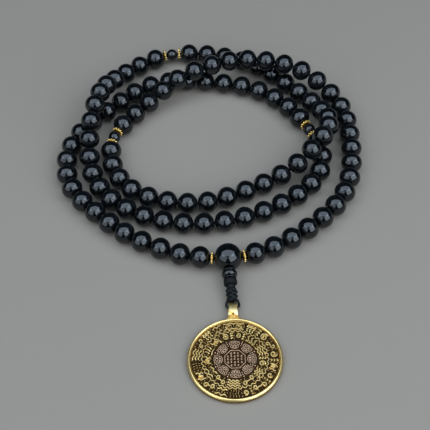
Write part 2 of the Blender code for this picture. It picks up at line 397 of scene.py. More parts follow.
def blank_material(name: str) -> tuple[bpy.types.Material, bpy.types.NodeTree, bpy.types.Node]:
    """Start a material.

    Args:
        name: the material's name.

    Returns:
        The material, its node tree and its Principled shader.
    """
    material = bpy.data.materials.new(name)
    material.use_nodes = True
    return material, material.node_tree, material.node_tree.nodes["Principled BSDF"]


@dataclass(frozen=True)
class PolishedOnyx:
    """Tumbled and wax-polished black onyx: a wet mirror shine over black, with a faint smoky depth."""

    name: str = "polished_black_onyx"
    body: str = "#050607"
    smoke: str = "#0E1013"
    smoke_mm: float = 3.0
    roughness: float = 0.07
    ior: float = 1.54

    def build(self) -> bpy.types.Material:
        """Make the material.

        Returns:
            The stone material.
        """
        material, tree, shader = blank_material(self.name)
        place = node(tree, "TexCoord").outputs["Object"]
        cloud = node(tree, "TexNoise", {"Vector": place, "Scale": 1 / (self.smoke_mm * MM),
                                        "Detail": 3.0, "Distortion": 0.8}).outputs["Fac"]
        tone = node(tree, "ValToRGB", {"Fac": cloud}, [(0.42, self.body), (0.72, self.smoke)])
        # tumbling leaves the shine a little uneven
        haze = node(tree, "MapRange", {"Value": cloud, "From Min": 0.3, "From Max": 0.8,
                                       "To Min": self.roughness, "To Max": self.roughness * 1.8})
        tree.links.new(tone.outputs["Color"], shader.inputs["Base Color"])
        tree.links.new(haze.outputs["Result"], shader.inputs["Roughness"])
        shader.inputs["IOR"].default_value = self.ior
        return material


@dataclass(frozen=True)
class AntiquedMetal:
    """Cast plated metal, blackened and then rubbed: bright worn tops over nearly black hollows."""

    name: str
    hollow: str
    flank: str
    worn: str
    bright: str
    patina: Patina
    low: float = 0.0
    high: float = 1.0
    wear_mm: float = 0.8
    grit_mm: float = 0.16
    rubbed: float = 0.3
    dull: float = 0.72

    def build(self) -> bpy.types.Material:
        """Make the material.

        Returns:
            The metal material, patinated by height, by the relief attribute or by wear alone.
        """
        material, tree, shader = blank_material(self.name)
        place = node(tree, "TexCoord").outputs["Object"]
        wear = node(tree, "TexNoise", {"Vector": place, "Scale": 1 / (self.wear_mm * MM),
                                       "Detail": 4.0}).outputs["Fac"]
        if self.patina is Patina.HEIGHT:
            height = node(tree, "SeparateXYZ", {"Vector": place}).outputs["Z"]
            tops = node(tree, "MapRange", {"Value": height, "From Min": self.low * MM,
                                           "From Max": self.high * MM}).outputs["Result"]
            # the back and the outside of the rim have no hollows to hold the black
            back = node(tree, "MapRange", {"Value": height, "From Min": (self.low - 0.1) * MM,
                                           "From Max": (self.low - 0.5) * MM,
                                           "To Max": 0.78}).outputs["Result"]
            share = node(tree, "Math", {0: tops, 1: back}, operation="MAXIMUM").outputs["Value"]
        elif self.patina is Patina.ATTRIBUTE:
            share = node(tree, "Attribute", attribute_name=self.patina.value).outputs["Fac"]
        else:
            share = node(tree, "MapRange", {"Value": wear, "From Min": 0.2, "From Max": 0.55,
                                            "To Min": 0.6, "To Max": 1.0}).outputs["Result"]
        uneven = node(tree, "MapRange", {"Value": wear, "From Min": 0.25, "From Max": 0.75,
                                         "To Min": -0.22, "To Max": 0.16}).outputs["Result"]
        rubbed = node(tree, "Math", {0: share, 1: uneven}, operation="ADD",
                      use_clamp=True).outputs["Value"]
        tone = node(tree, "ValToRGB", {"Fac": rubbed},
                    [(0.0, self.hollow), (0.4, self.flank), (0.72, self.worn), (1.0, self.bright)])
        shine = node(tree, "MapRange", {"Value": rubbed, "To Min": self.dull, "To Max": self.rubbed})
        grit = node(tree, "TexNoise", {"Vector": place, "Scale": 1 / (self.grit_mm * MM),
                                       "Detail": 2.0}).outputs["Fac"]
        cast = node(tree, "Bump", {"Height": grit, "Strength": 0.25, "Distance": 0.03 * MM})
        tree.links.new(tone.outputs["Color"], shader.inputs["Base Color"])
        tree.links.new(shine.outputs["Result"], shader.inputs["Roughness"])
        tree.links.new(cast.outputs["Normal"], shader.inputs["Normal"])
        shader.inputs["Metallic"].default_value = 1.0
        return material


@dataclass(frozen=True)
class WaxedCord:
    """Twisted polyester cord, dyed black and waxed: soft black with a dull gleam along each strand."""

    name: str = "waxed_black_cord"
    dark: str = "#040405"
    light: str = "#0F0F12"
    twist_mm: float = 0.5
    roughness: float = 0.52
    gleam: float = 0.2

    def build(self) -> bpy.types.Material:
        """Make the material.

        Returns:
            The cord material.
        """
        material, tree, shader = blank_material(self.name)
        place = node(tree, "TexCoord").outputs["Object"]
        twist = node(tree, "TexWave", {"Vector": place, "Scale": 1 / (self.twist_mm * MM * 3),
                                       "Distortion": 1.5, "Detail": 1.0},
                     bands_direction="DIAGONAL").outputs["Fac"]
        tone = node(tree, "ValToRGB", {"Fac": twist}, [(0.2, self.dark), (0.9, self.light)])
        strand = node(tree, "Bump", {"Height": twist, "Strength": 0.5, "Distance": 0.08 * MM})
        tree.links.new(tone.outputs["Color"], shader.inputs["Base Color"])
        tree.links.new(strand.outputs["Normal"], shader.inputs["Normal"])
        shader.inputs["Roughness"].default_value = self.roughness
        shader.inputs["Specular IOR Level"].default_value = self.gleam
        return material


@dataclass
class Finishes:
    """Every material of the object, made once."""

    onyx: bpy.types.Material = field(default_factory=lambda: PolishedOnyx().build())
    cord: bpy.types.Material = field(default_factory=lambda: WaxedCord().build())
    # antique gold of the medal: dark brown hollows, pale rubbed gold on top
    medal: bpy.types.Material = field(default_factory=lambda: AntiquedMetal(
        "antique_gold_relief", "#3A2A18", "#866232", "#D2A65A", "#F8D892", Patina.HEIGHT, 1.43, 1.64).build())
    # the same alloy, handled bright on the bail
    bail: bpy.types.Material = field(default_factory=lambda: AntiquedMetal(
        "antique_gold_rubbed", "#4A3216", "#A87C38", "#E4B864", "#FFDF9E", Patina.WEAR, wear_mm=1.6).build())
    # granulated spacer rings: gold grains on a dark core
    grain: bpy.types.Material = field(default_factory=lambda: AntiquedMetal(
        "antique_gold_granules", "#1A1006", "#6B4814", "#CFA24A", "#F2CF82", Patina.ATTRIBUTE,
        rubbed=0.2).build())
    # the plating is worn through to copper in the middle of the medal
    copper: bpy.types.Material = field(default_factory=lambda: AntiquedMetal(
        "antique_copper_relief", "#3C2818", "#946A4C", "#E8B084", "#FFDCB8", Patina.HEIGHT, 1.45, 1.6,
        rubbed=0.38).build())


def dress(piece: Body, material: bpy.types.Material) -> Body:
    """Give a piece its only material.

    Args:
        piece: the mesh object.
        material: its finish.

    Returns:
        The same piece.
    """
    piece.data.materials.clear()
    piece.data.materials.append(material)
    return piece


def placed(piece: Body, body: str, *nodes: str) -> None:
    """Let a piece ride on a body, and report it.

    Args:
        piece: the mesh object.
        body: the body it moves with.
        nodes: the CAD nodes it takes the place of, if any.
    """
    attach(piece, body)
    if nodes:
        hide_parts(*nodes)
    LOG.info("%s: %d faces, rides on %s", piece.name, len(piece.data.polygons), body)


def bending_cord(name: str, line: Sequence[Vector], radius: float, material: bpy.types.Material,
                 bodies: tuple[str, str], sides: int = 8) -> None:
    """Make a short cord between two bodies, attached to neither, and log it.

    Args:
        name: the object's name.
        line: the points it runs through, from the first body's side to the second's.
        radius: the cord's radius.
        material: its finish.
        bodies: the two bodies.
        sides: faces round the cord.
    """
    cord = wires(name, [Stroke([Vector(p) for p in rounded(line)], radius)], sides)
    dress(cord, material)
    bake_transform(cord)
    LOG.info("%s: bends between %s and %s", name, *bodies)


# ---- the strand's route ---------------------------------------------------------------------------
# x and y from the guru's middle, and how far the string rises above its height on the table, in order
# from the guru round the three turns and back
ROUTE = [
    (0, 0, 1.1), (6, 0.7, 1.1), (14.4, 3.6, 0.2), (25, 9.4, 0), (37.6, 19, 0), (47.2, 31, 0), (51.6, 47, 0),
    (52.4, 64, 0), (50.8, 79, 0.2), (45.8, 86.6, 2.2), (39.8, 91.6, 5.4), (33.2, 94.6, 8.4),
    (26, 97.4, 9), (18.4, 99.8, 8.9), (10.4, 101.2, 8.6), (2.4, 100, 8.8), (-5.2, 97, 9),
    (-12.8, 94.4, 8.6), (-20.2, 91.4, 6), (-26.4, 87.4, 2.8), (-32.6, 82.6, 0.4), (-38.4, 77, 0),
    (-43.2, 70, 0), (-46.2, 62, 0), (-45.6, 50, 0), (-41.4, 40.6, 0), (-35.2, 34.4, 0),
    (-22, 29.2, 0), (-8, 28.2, 0), (9.4, 34.2, 0), (18, 38.2, 0.2), (25, 41.6, 1.7),
    (31.4, 44.6, 5.4), (36.8, 49, 8.8), (40.8, 54.6, 9.3), (43.6, 61.4, 7.5), (43.8, 69, 4.3),
    (41.6, 76.2, 1.3), (37.4, 83.4, 0), (28.4, 94, 0), (18.4, 104.6, 0), (5, 111.8, 0),
    (-11, 115.4, 0), (-25.8, 114.2, 0), (-37.4, 107, 0), (-43, 101.6, 1.1), (-46.8, 95.4, 3.7),
    (-49.6, 88.6, 7.3), (-51.4, 81.4, 9.5), (-53, 73.8, 9.5), (-54.4, 66.2, 7.3), (-55, 58.4, 3.7),
    (-54.6, 50.4, 0.9), (-51.6, 40.4, 0), (-45, 31, 0), (-31.6, 22.2, 0), (-17, 18, 0),
    (-1, 18.4, 0), (14.6, 22.6, 0), (28, 30.2, 0), (37.6, 40.6, 0), (40.2, 51.4, 0),
    (37.6, 62, 0), (32.4, 73.4, 0), (25, 83.4, 0), (13.4, 92, 0), (-1.6, 96, 0),
    (-17.6, 98.2, 0), (-32.8, 94.8, 0), (-44.6, 84.6, 0), (-56.8, 72.6, 0), (-63.2, 60, 0),
    (-64.4, 51, 0), (-61, 37, 0), (-50.4, 24.6, 0), (-39.2, 14, 0), (-25, 6, 0), (-14.4, 2, 0.2),
    (-6, 0.3, 1.1),
]


def last_true(test: Callable[[float], bool], low: float, high: float, halvings: int) -> float:
    """Close in on the place where a test stops being true.

    Args:
        test: true at the low end of the range and false at the high end.
        low: the low end.
        high: the high end.
        halvings: how often the range is halved.

    Returns:
        A place where the test is still true.
    """
    for _ in range(halvings):
        middle = (low + high) / 2
        low, high = (middle, high) if test(middle) else (low, middle)
    return low


@dataclass
class StrandRoute:
    """Where each threaded piece meets the next, in millimetres."""

    bead_radius: float = 4.25
    bead_pitch: float = 8.0
    marker_pitch: float = 5.2
    spacer_pitch: float = 1.15
    guru_pitch: float = 10.8
    guru_at: tuple[float, float, float] = (5.849, -30.627, 5.35)
    beads_per_quarter: int = 27

    def smooth_curve(self, step: float = 0.25) -> list[Vector]:
        """Centripetal Catmull-Rom curve through the route, round and back to its first point.

        Args:
            step: about how far apart the curve's points are.

        Returns:
            The curve's points, the first repeated at the end.
        """
        points = [Vector((x, y, self.bead_radius + rise)) for x, y, rise in ROUTE]
        count = len(points)
        curve = []
        for at in range(count):
            p0, p1, p2, p3 = (points[(at + k - 1) % count] for k in range(4))
            t1 = math.sqrt((p1 - p0).length)
            t2 = t1 + math.sqrt((p2 - p1).length)
            t3 = t2 + math.sqrt((p3 - p2).length)
            pieces = max(2, int((p2 - p1).length / step))
            for j in range(pieces):
                t = t1 + (t2 - t1) * j / pieces
                a1 = p0.lerp(p1, t / t1)
                a2 = p1.lerp(p2, (t - t1) / (t2 - t1))
                a3 = p2.lerp(p3, (t - t2) / (t3 - t2))
                b1, b2 = a1.lerp(a2, t / t2), a2.lerp(a3, (t - t1) / (t3 - t1))
                spot = b1.lerp(b2, (t - t1) / (t2 - t1))
                spot.z = max(spot.z, self.bead_radius)
                curve.append(spot)
        return [*curve, curve[0]]

    def lengths(self) -> list[float]:
        """Lengths of everything on the string, from the guru's middle round to it again.

        Returns:
            One length for each threaded piece.
        """
        start = [self.guru_pitch / 2, self.spacer_pitch]
        quarter = [self.bead_pitch] * self.beads_per_quarter
        marker = [self.spacer_pitch, self.marker_pitch, self.spacer_pitch]
        return [*start, *(quarter + marker) * 3, *quarter, *reversed(start)]

    def march(self, line: list[Vector], lengths: Sequence[float]) -> tuple[list[Vector], float]:
        """Step along a curve.

        Args:
            line: the curve's points.
            lengths: the straight distance of each step.

        Returns:
            The points stepped on, and how much curve is left, or -1 where it was too short.
        """
        here, at = line[0], 0
        points = [here]
        for length in lengths:
            while at < len(line) - 1 and (line[at + 1] - here).length < length:
                at += 1
            if at == len(line) - 1:
                return points, -1.0
            share = last_true(lambda part: (line[at].lerp(line[at + 1], part) - here).length < length,
                              0.0, 1.0, 30)
            here = line[at].lerp(line[at + 1], share)
            points.append(here)
        return points, (here - line[-1]).length

    def junctions(self) -> list[Vector]:
        """Share the string's slack out evenly between all that is threaded on it.

        Returns:
            One point for each threaded piece, where that piece starts.
        """
        line, lengths = self.smooth_curve(), self.lengths()
        slack = last_true(lambda part: self.march(line, [length * part for length in lengths])[1] >= 0,
                          0.95, 1.05, 40)
        points, _ = self.march(line, [length * slack for length in lengths])
        shift = Vector(self.guru_at) - line[0]
        return [p + shift for p in points[:len(lengths)]]


# ---- beads ----------------------------------------------------------------------------------------
@dataclass
class DrilledBead:
    """A round bead, drilled through along Z, with the drilled mouths softly rounded.

    A length under 1 makes it a little shorter along the string than it is thick.
    """

    radius: float
    bore: float
    segments: int = 32
    rings: int = 16
    lip: float = 0.14
    length: float = 1.0

    def model(self, name: str) -> Body:
        """Model the bead from a sphere whose poles are opened and bridged through.

        Args:
            name: the object's name.

        Returns:
            The bead at the origin.
        """
        clear_selection()
        bpy.ops.mesh.primitive_uv_sphere_add(segments=self.segments, ring_count=self.rings,
                                             radius=self.radius * MM, location=(0, 0, 0))
        bead = added(name)
        bpy.ops.object.mode_set(mode="EDIT")
        step = math.pi / self.rings
        pole = self.radius * MM * math.cos(step * 0.5)
        rim = self.radius * MM * math.cos(step * 1.5)
        select_verts(bead, lambda p: abs(p.z) > pole)
        bpy.ops.mesh.delete(type="VERT")
        shrink = self.bore / (self.radius * math.sin(step))
        for side in (-1, 1):
            select_verts(bead, lambda p: p.z * side > rim)
            bpy.ops.transform.resize(value=(shrink, shrink, 1), center_override=(0, 0, 0))

        def at_mouth(a: Vector, b: Vector) -> bool:
            """Whether an edge lies on the rim of one drilled mouth."""
            return a.z * b.z > 0 and min(abs(a.z), abs(b.z)) > rim

        select_edges(bead, at_mouth)
        bpy.ops.mesh.bridge_edge_loops()
        select_edges(bead, at_mouth)
        bpy.ops.mesh.bevel(offset=self.lip * MM, segments=2)
        bpy.ops.mesh.select_all(action="SELECT")
        bpy.ops.transform.resize(value=(1, 1, self.length), center_override=(0, 0, 0))
        close_up()
        return smooth(bead, 60)


@dataclass
class SpacerRing:
    """A flat gold ring with small grains soldered round its edge."""

    radius: float = 1.85
    bore: float = 0.8
    half: float = 0.46
    edge: float = 0.2
    chamfer: float = 0.25
    grains: int = 11
    grain: float = 0.46
    grain_at: float = 1.98
    dark_core: float = 0.35

    def model(self, name: str) -> Body:
        """Model the ring and its grains as one piece with a relief attribute.

        Args:
            name: the object's name.

        Returns:
            The ring at the origin, its bore along Z.
        """
        core, shoulder, mouth = self.bore + self.chamfer, self.radius - self.edge, self.half * 0.7
        rim = rounded([(core, self.half * 0.8), (shoulder, self.half), (self.radius, 0),
                       (shoulder, -self.half), (core, -self.half * 0.8)], 3)
        parts = [turned(name, [(self.bore, mouth), *rim, (self.bore, -mouth), (self.bore, mouth)], steps=24)]
        clear_selection()
        bpy.ops.mesh.primitive_ico_sphere_add(subdivisions=2, radius=self.grain * MM, location=(0, 0, 0))
        grain = smooth(added("grain"), 180)
        for k in range(self.grains):
            turn = Matrix.Rotation(TURN * k / self.grains, 4, "Z")
            parts.append(copied(grain, f"grain_{k}", turn @ Matrix.Translation((self.grain_at * MM, 0, 0))))
        discard(grain)
        ring = joined(parts, name)
        relief = ring.data.attributes.new(Patina.ATTRIBUTE.value, "FLOAT", "POINT")
        dark = self.bore + self.dark_core
        for value, vert in zip(relief.data, ring.data.vertices):
            out = math.hypot(vert.co.x, vert.co.y) / MM
            value.value = min(1.0, max(0.0, (out - dark) / (self.grain_at - dark)))
        return ring


@dataclass
class Strand:
    """Counting beads, marker beads, spacer rings and the links of string between the two bodies."""

    points: list[Vector]
    route: StrandRoute
    finishes: Finishes
    per_run: int = 3
    front_runs: int = 3
    bore: float = 0.75
    bead_length: float = 0.935
    slack_length: float = 0.895
    marker_radius: float = 2.5
    link_radius: float = 0.45
    link_half: float = 0.9
    link_bend: float = 0.3
    spins: random.Random = field(default_factory=lambda: random.Random(27))

    @property
    def right_split(self) -> int:
        """The junction on the right where the front of the strand lifts."""
        return 2 + self.front_runs * self.per_run

    @property
    def left_split(self) -> int:
        """The junction on the left where the front of the strand lifts."""
        return len(self.points) - 2 - self.front_runs * self.per_run

    def threaded(self, pattern: Body, name: str, at: int) -> Body:
        """A copy of a bead or ring on the string, turned by chance about it.

        Args:
            pattern: the piece to copy.
            name: the copy's name.
            at: the junction where the piece starts.

        Returns:
            The copy in its place.
        """
        a, b = self.points[at], self.points[at + 1]
        return copied(pattern, name, on_line((a + b) / 2, b - a, self.spins.uniform(0, TURN)))

    def beads(self) -> None:
        """Thread the 108 counting beads, three to a piece, and the markers with their rings."""
        radius = self.route.bead_radius
        bead = DrilledBead(radius, self.bore, length=self.bead_length).model("bead")
        # next to the two places where the front lifts, so that the beads there do not press together
        slack = DrilledBead(radius, self.bore, length=self.slack_length).model("slack_bead")
        marker = DrilledBead(self.marker_radius, self.bore, rings=12, lip=0.1).model("marker")
        ring = SpacerRing().model("ring")
        runs = self.route.beads_per_quarter // self.per_run
        splits = (self.right_split, self.right_split - 1, self.left_split, self.left_split - 1)
        at = 2
        for quarter in range(1, 5):
            for run in range(1, runs + 1):
                trio = [self.threaded(slack if k in splits else bead, f"bead_{k - at}", k)
                        for k in range(at, at + self.per_run)]
                piece = joined(trio, f"onyx_beads_q{quarter}_{run}")
                from_guru = {1: run, 4: runs + 1 - run}.get(quarter, runs)
                body = "front_strand" if from_guru <= self.front_runs else "coil"
                placed(dress(piece, self.finishes.onyx), body, f"beads_q{quarter}_{run}")
                at += self.per_run
            if quarter < 4:
                for pattern, cad in ((ring, f"spacer_m{quarter}a"), (marker, f"marker_{quarter}"),
                                     (ring, f"spacer_m{quarter}b")):
                    self.small_piece(pattern, cad, at)
                    at += 1
        self.small_piece(ring, "spacer_guru_right", 1)
        self.small_piece(ring, "spacer_guru_left", at)
        discard(bead, slack, marker, ring)

    def small_piece(self, pattern: Body, cad: str, at: int) -> None:
        """Thread a marker bead or a spacer ring in the place of its CAD node.

        Args:
            pattern: the piece to copy.
            cad: the CAD node it stands for.
            at: the junction where the piece starts.
        """
        if cad.startswith("spacer"):
            kind, finish, slot = "granule_ring", self.finishes.grain, Slot.GOLD
        else:
            kind, finish, slot = "onyx", self.finishes.onyx, Slot.ONYX
        piece = self.threaded(pattern, f"{kind}_{cad}", at)
        placed(dress(piece, finish), f"{cad}_body", cad)

    def string_links(self) -> None:
        """Join the front string to the coil's where the front of the strand lifts."""
        for name, at, step in (("right", self.right_split, 1), ("left", self.left_split, -1)):
            here = self.points[at]
            into_coil = (self.points[at + step] - here).normalized()
            into_front = (self.points[at - step] - here).normalized()
            line = [here + into_coil * self.link_half, here + into_coil * self.link_bend, here,
                    here + into_front * self.link_bend, here + into_front * self.link_half]
            bending_cord(f"string_link_{name}", line, self.link_radius, self.finishes.cord,
                         ("coil", "front_strand"))


# ---- guru and tail --------------------------------------------------------------------------------
@dataclass
class GuruBead:
    """The large three-hole bead."""

    centre: Vector
    along: Vector
    mouth: Vector
    aim: Vector
    finishes: Finishes
    radius: float = 5.3
    bore: float = 0.8
    tail_hole: float = 1.25
    flare: float = 1.9
    drill_depth: float = 3.2

    def build(self) -> None:
        """Model the bead and drill the tail's hole in it, wider at its mouth."""
        pattern = DrilledBead(self.radius, self.bore, segments=56, rings=28, lip=0.16)
        bead = moved(pattern.model("onyx_guru_bead"), on_line(self.centre, self.along))
        clear_selection()
        bpy.ops.mesh.primitive_cone_add(vertices=40, radius1=self.tail_hole * MM,
                                        radius2=self.tail_hole * self.flare * MM,
                                        depth=self.drill_depth * MM, location=(0, 0, 0))
        cut_out(bead, moved(added("tail_hole_cutter"), on_line(self.mouth, self.aim)))
        smooth(bead, 30)
        placed(dress(bead, self.finishes.onyx), "guru", "guru_bead")


@dataclass
class Tail:
    """Tower bead, wrapped knot, round braid and the loop that carries the medal.

    Every place along the tail is a distance down its line from the mouth of the guru's third hole.
    """

    mouth: Vector
    aim: Vector
    loop_at: Vector
    finishes: Finishes
    tower_bore: float = 0.85
    pin: float = 0.55
    wrap_from: float = 4.7
    wrap_to: float = 6.72
    wrap_radius: float = 2.1
    wrap_turns: int = 4
    wrap_cord: float = 0.44
    tuck: float = 0.34
    neck_at: tuple[float, ...] = (6.8, 7.15, 7.45, 7.75, 8.4)
    neck_radius: float = 1.6
    braid_from: float = 8.1
    braid_to: float = 13.1
    braid_radius: float = 1.42
    braid_weave: float = 0.28
    braid_strand: float = 0.7
    braid_lay: float = 5.0
    loop_half: tuple[float, float] = (2.35, 1.3)
    loop_cord: float = 0.45

    def along(self, t: float) -> Vector:
        """The point at a distance down the tail's line."""
        return self.mouth + self.aim * t

    def round_it(self, t: float, radius: float, angle: float) -> Vector:
        """A point beside the tail's line.

        Args:
            t: distance down the line.
            radius: distance out from it.
            angle: angle about it.

        Returns:
            The point in millimetres.
        """
        side = UP.cross(self.aim).normalized()
        over = self.aim.cross(side)
        return self.along(t) + side * (radius * math.cos(angle)) + over * (radius * math.sin(angle))

    def tower(self) -> None:
        """The turned bead: a wide collar, a round belly and a thin ring, with the cord's bore."""
        belly = rounded([(1.5, 0.72), (2.2, 0.74), (2.5, 0.9), (2.38, 1.08), (2.1, 1.14), (2.55, 1.45),
                         (2.95, 2.25), (2.82, 3.05), (2.3, 3.6), (2.05, 3.72), (2.4, 3.9), (2.46, 4.1),
                         (2.15, 4.3), (1.6, 4.38)], 4)
        top, foot = (self.tower_bore, 0.74), (self.tower_bore, 4.3)
        bead = moved(turned("onyx_tower_bead", [top, *belly, foot, top], steps=48),
                     on_line(self.mouth, self.aim))
        placed(dress(bead, self.finishes.onyx), "tower", "tower_bead")

    def wrap(self) -> None:
        """The knot: a cord wound tightly round a core, on the end that runs up into the guru."""
        outline = [(0, -0.9), (self.pin, -0.9), (self.pin, 4.6), (1.5, 4.66), (2.0, 4.95), (2.1, 5.9),
                   (2.0, 6.8), (1.2, 7.18), (0, 7.2)]
        core = moved(turned("wrap_core", outline, steps=28), on_line(self.mouth, self.aim))
        count, tucked = self.wrap_turns * 24, 0.12
        coil = []
        for k in range(count + 1):
            share = k / count
            # the last part of the winding at each end is drawn in under the turn beside it
            near_end = max(0.0, abs(share - 0.5) - (0.5 - tucked)) / tucked
            coil.append(self.round_it(self.wrap_from + (self.wrap_to - self.wrap_from) * share,
                                      self.wrap_radius * (1 - self.tuck * near_end),
                                      share * self.wrap_turns * TURN))
        turns = wires("wrap_turns", [Stroke(coil, self.wrap_cord, taper=0.6)], sides=10)
        knot = joined([core, turns], "cord_tail_wrap")
        placed(dress(knot, self.finishes.cord), "tail", "tail_wrap")

    def neck(self) -> None:
        """The gathered strands between the knot and the braid."""
        bending_cord("cord_braid_neck", [self.along(t) for t in self.neck_at], self.neck_radius,
                     self.finishes.cord, ("tail", "braid"), sides=12)

    def braid(self) -> None:
        """Three strands wound each way, passing over and under each other."""
        strokes = []
        count, gathered, strands = 60, 12, 3
        for way in (-1, 1):
            for strand in range(strands):
                line = []
                for k in range(count + 1):
                    t = self.braid_from + (self.braid_to - self.braid_from) * k / count
                    turn = TURN * (t - self.braid_from) / self.braid_lay
                    # drawn together where it leaves the knot, and a little thinner towards the loop
                    narrow = (1 - 0.15 * k / count) * min(1.0, 0.25 + 0.75 * k / gathered)
                    out = (self.braid_radius + way * self.braid_weave * math.cos(strands * turn)) * narrow
                    line.append(self.round_it(t, out, way * turn + TURN * strand / strands))
                strokes.append(Stroke(line, self.braid_strand, taper=0.7))
        filler = [self.along(self.braid_from), self.along(self.braid_to - 0.5)]
        braid = wires("cord_tail_braid", [*strokes, Stroke(filler, self.braid_strand)])
        placed(dress(braid, self.finishes.cord), "braid", "tail_braid")

    def loop(self) -> None:
        """The braid's last strands, parted round the bail and passed through it."""
        x, y = self.loop_half
        gather = self.along(self.braid_to - 0.6) - self.loop_at
        side = [(1.7, y + 0.3, 0.5), (x - 0.15, y - 0.7, 0.1), (x, -y * 0.4, 0),
                (x - 0.5, -y + 0.15, 0), (x - 1.4, -y, 0)]
        right = [(gather.x * 0.5 + 0.7, gather.y, gather.z), *side]
        left = [(gather.x * 0.5 - 0.7, gather.y, gather.z), *((-out, down, rise) for out, down, rise in side)]
        line = [self.loop_at + Vector(p) for p in rounded([*right, (0, -y, 0), *reversed(left)], 5)]
        loop = wires("cord_tail_loop", [Stroke(line, self.loop_cord)], sides=10)
        placed(dress(loop, self.finishes.cord), "braid", "tail_loop")

    def build(self) -> None:
        """Make every piece of the tail."""
        self.tower()
        self.wrap()
        self.neck()
        self.braid()
        self.loop()


# ---- the medal ------------------------------------------------------------------------------------
class Motif(Enum):
    """Plain ornaments that fill the medal's bands."""

    WAVES = "waves"
    SPIRAL = "spiral"
    DOUBLE = "double"
    LEAF = "leaf"
    HOOKS = "hooks"
    BARS = "bars"
    GRAINS = "grains"


